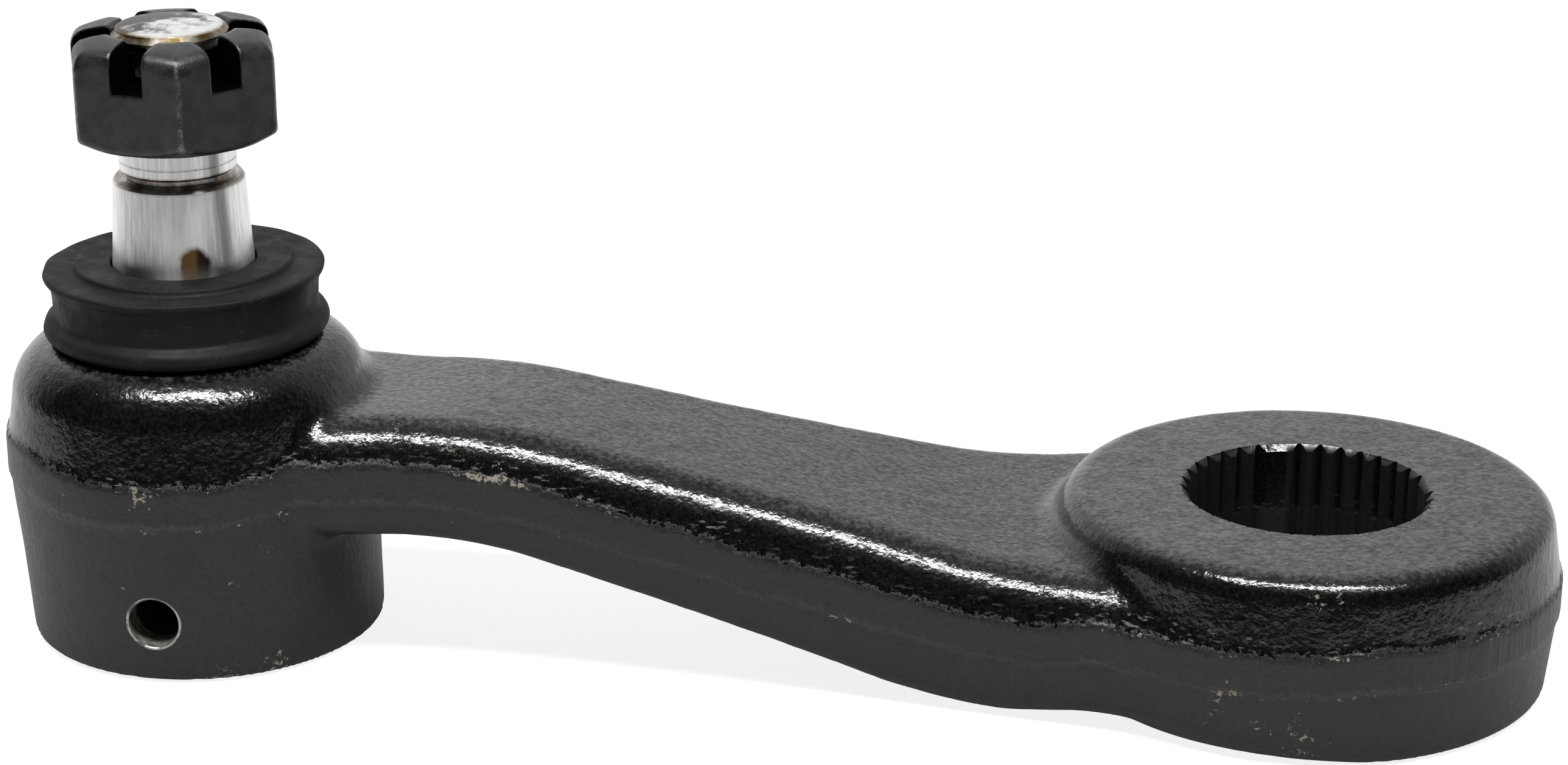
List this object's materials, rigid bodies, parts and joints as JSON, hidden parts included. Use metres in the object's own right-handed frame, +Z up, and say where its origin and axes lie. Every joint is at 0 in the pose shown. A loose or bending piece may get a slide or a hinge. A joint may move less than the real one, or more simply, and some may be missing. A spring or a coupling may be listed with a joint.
{
  "type": "pitman arm",
  "caption": "Forged steering arm with a splined eye for the steering gear's shaft and a booted, tapered ball stud with a slotted nut.",
  "frame": {"origin": "on the splined eye's axis, in the plane that the arm rests on", "axes": "+X from the ball stud towards the splined eye, +Z up along the eye's axis and the stud"},
  "size_m": [0.2122, 0.0688, 0.0852],
  "materials": {
    "forging": "semi-gloss black paint on a forged skin",
    "cover": "semi-gloss black paint on pressed steel",
    "spring_steel": "plain spring steel",
    "bearing": "sintered iron, greased",
    "stud": "ground steel",
    "boot": "matt black rubber",
    "nut": "dark phosphate"
  },
  "bodies": {
    "arm": {"arm_forging": "forging", "cover_plate": "cover", "preload_spring": "spring_steel", "dust_boot": "boot"},
    "seat": {"pressure_seat": "bearing"},
    "ball": {"half_ball": "bearing"},
    "stud": {"ball_stud": "stud"},
    "nut": {"castle_nut": "nut"}
  },
  "joints": [
    {"name": "seat_turn", "type": "hinge", "parent": "arm", "child": "seat", "pos_m": [-0.1524, 0, 0.0225], "axis": [0, 0, 1], "continuous": true},
    {"name": "stud_tilt", "type": "hinge", "parent": "seat", "child": "ball", "pos_m": [-0.1524, 0, 0.0225], "axis": [0, 1, 0], "range_deg": [-18, 18], "deforming": ["dust_boot"]},
    {"name": "stud_spin", "type": "hinge", "parent": "ball", "child": "stud", "pos_m": [-0.1524, 0, 0.0225], "axis": [0, 0, 1], "continuous": true},
    {"name": "nut_turn", "type": "hinge", "parent": "stud", "child": "nut", "pos_m": [-0.1524, 0, 0.077], "axis": [0, 0, 1], "continuous": true}
  ]
}
